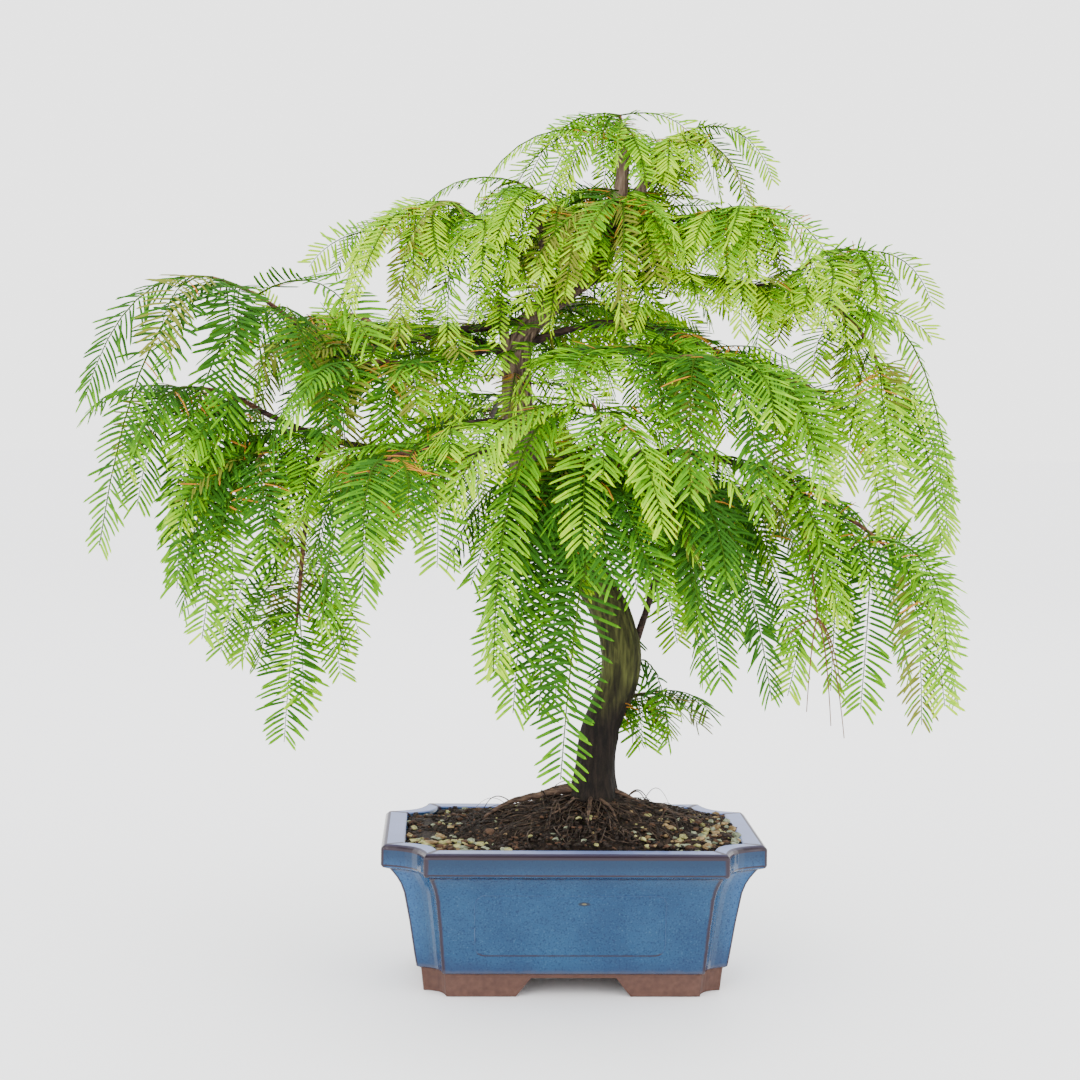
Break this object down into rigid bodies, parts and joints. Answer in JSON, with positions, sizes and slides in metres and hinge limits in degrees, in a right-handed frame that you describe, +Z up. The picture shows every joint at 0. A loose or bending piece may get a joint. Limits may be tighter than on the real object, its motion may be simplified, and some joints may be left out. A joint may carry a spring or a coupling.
{
  "type": "potted bonsai dawn redwood",
  "caption": "Weeping bonsai conifer with a winding trunk, long boughs and hanging feathery sprays, in a glazed footed rectangular pot with in-cut corners.",
  "frame": {"origin": "on the table, under the centre of the whole plant's bounding box; the pot stands to the right of it and nearer the viewer", "axes": "+Z up, +X along the pot's long side to the viewer's right, +Y away from the viewer"},
  "size_m": [0.4692, 0.3594, 0.4638],
  "materials": {
    "glaze": "gloss",
    "soil": "matte",
    "old_bark": "matte",
    "young_bark": "matte",
    "needles": "matte"
  },
  "bodies": {
    "root": {"pot": "glaze", "soil": "soil", "trunk": "old_bark", "bough_left_upper": "young_bark", "bough_left_inner": "young_bark", "bough_left_lower": "young_bark", "bough_left_twig": "young_bark", "bough_left_hanging": "young_bark", "bough_front_left": "young_bark", "bough_front": "young_bark", "bough_front_right": "young_bark", "bough_right_upper": "young_bark", "bough_right_outer": "young_bark", "bough_right_mid": "young_bark", "bough_right_lower": "young_bark", "bough_right_shoulder": "young_bark", "bough_top_right": "young_bark", "bough_shoulder": "young_bark", "bough_back_left": "young_bark", "bough_back": "young_bark", "bough_back_right": "young_bark", "bough_back_low_right": "young_bark", "bough_back_low_left": "young_bark", "side_shoot": "young_bark", "left_tip": "needles", "left_mid": "needles", "left_curtain": "needles", "left_low": "needles", "left_inner": "needles", "left_belly": "needles", "front_shoot": "needles", "front_hanging": "needles", "front_low": "needles", "front_right_hanging": "needles", "front_right": "needles", "right_high": "needles", "right_far": "needles", "right_mid": "needles", "right_low": "needles", "side_hanging": "needles", "low_shoot": "needles", "top_leader": "needles", "top_right": "needles", "top_front": "needles", "top_left": "needles", "shoulder_left": "needles", "shoulder_right": "needles", "back_left": "needles", "back_mid": "needles", "back_right": "needles", "back_low_left": "needles", "back_low_right": "needles", "back_top": "needles"}
  },
  "joints": []
}
